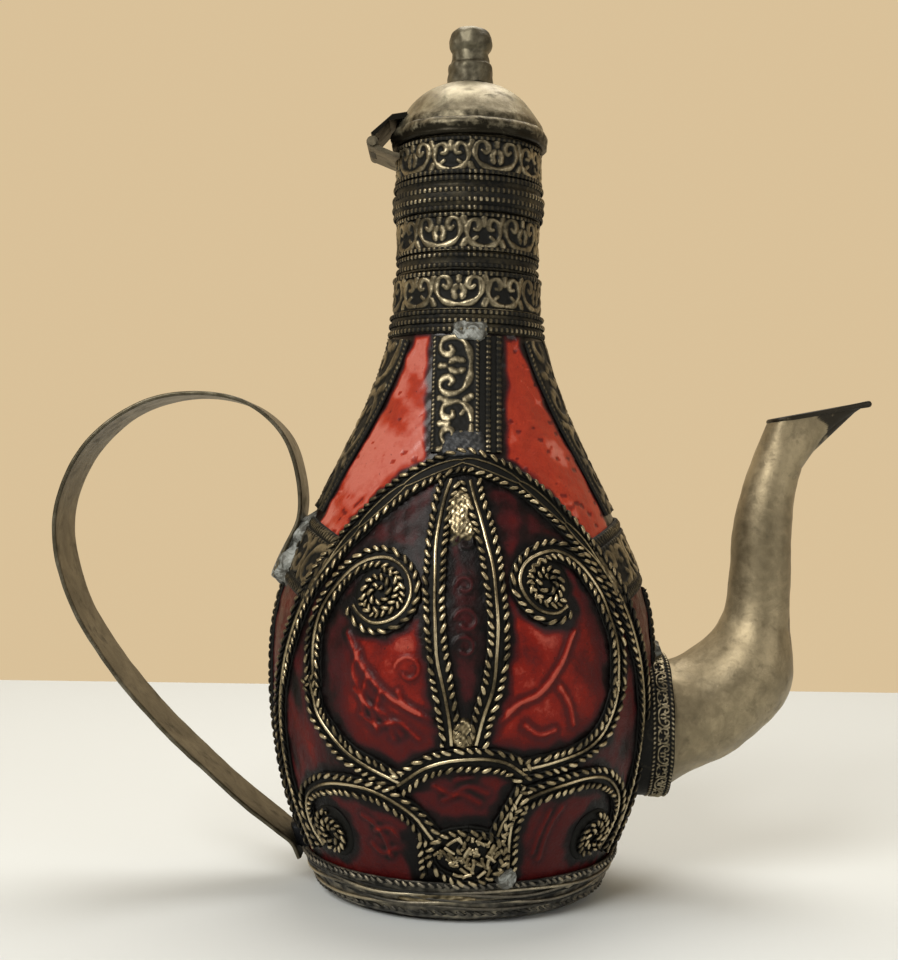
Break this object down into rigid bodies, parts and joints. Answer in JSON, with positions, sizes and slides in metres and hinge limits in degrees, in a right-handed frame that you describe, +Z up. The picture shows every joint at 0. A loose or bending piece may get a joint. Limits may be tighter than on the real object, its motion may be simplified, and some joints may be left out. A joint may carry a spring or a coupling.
{
  "type": "coffee pot",
  "caption": "Pear-shaped metal coffee pot dressed in leather panels and twisted-wire filigree, with a strap handle, swan-neck spout and hinged domed lid.",
  "frame": {"origin": "middle of the underside of the base", "axes": "+Z up, spout towards +X, handle and lid hinge towards -X, front towards -Y"},
  "size_m": [0.1662, 0.0792, 0.1751],
  "materials": {
    "filigree_brass": "blackened twisted wire with rubbed tops",
    "embossed_brass": "blackened embossed strip with rubbed tops",
    "red_leather": "glossy dyed leather, stained black at its edges",
    "vessel_brass": "dull sheet brass",
    "spout_brass": "satin, mottled patina",
    "handle_brass": "dark patina with worn edges",
    "lid_brass": "satin, mottled patina",
    "hinge_brass": "dark patina with solder marks"
  },
  "bodies": {
    "pot": {"back_arch": "filigree_brass", "back_base_scroll_left": "filigree_brass", "back_base_scroll_right": "filigree_brass", "back_bow_left": "filigree_brass", "back_bow_right": "filigree_brass", "back_leaf_left": "filigree_brass", "back_leaf_right": "filigree_brass", "back_lens_arch": "filigree_brass", "back_rosette": "filigree_brass", "back_scroll_left": "filigree_brass", "back_scroll_right": "filigree_brass", "base_plate": "vessel_brass", "foot_band": "embossed_brass", "front_arch": "filigree_brass", "front_base_scroll_left": "filigree_brass", "front_base_scroll_right": "filigree_brass", "front_bow_left": "filigree_brass", "front_bow_right": "filigree_brass", "front_leaf_left": "filigree_brass", "front_leaf_right": "filigree_brass", "front_lens_arch": "filigree_brass", "front_rosette": "filigree_brass", "front_scroll_left": "filigree_brass", "front_scroll_right": "filigree_brass", "handle": "handle_brass", "hinge_pin": "hinge_brass", "leather_field_back": "red_leather", "leather_field_front": "red_leather", "leather_side_handle": "red_leather", "leather_side_spout": "red_leather", "leather_upper_back_handle": "red_leather", "leather_upper_back_spout": "red_leather", "leather_upper_front_handle": "red_leather", "leather_upper_front_spout": "red_leather", "neck_band_lower": "embossed_brass", "neck_band_middle": "embossed_brass", "neck_band_top": "embossed_brass", "neck_hinge_leaf": "hinge_brass", "neck_ring_lower": "embossed_brass", "neck_ring_middle": "embossed_brass", "neck_ring_upper": "embossed_brass", "shoulder_band_handle": "embossed_brass", "shoulder_band_spout": "embossed_brass", "side_rib_above_spout": "embossed_brass", "side_rib_below_spout": "embossed_brass", "side_rib_handle": "embossed_brass", "spout": "spout_brass", "spout_collar": "embossed_brass", "spout_lip": "handle_brass", "strap_back": "embossed_brass", "strap_front": "embossed_brass", "strap_handle_back": "embossed_brass", "strap_handle_front": "embossed_brass", "strap_spout_back": "embossed_brass", "strap_spout_front": "embossed_brass", "vessel": "vessel_brass"},
    "lid": {"lid_dome": "lid_brass", "lid_rim": "lid_brass", "finial": "lid_brass", "lid_hinge_leaf": "hinge_brass"}
  },
  "joints": [
    {"name": "lid_hinge", "type": "hinge", "parent": "pot", "child": "lid", "pos_m": [-0.0195, 0, 0.1498], "axis": [0, -1, 0], "range_deg": [0, 105]}
  ]
}
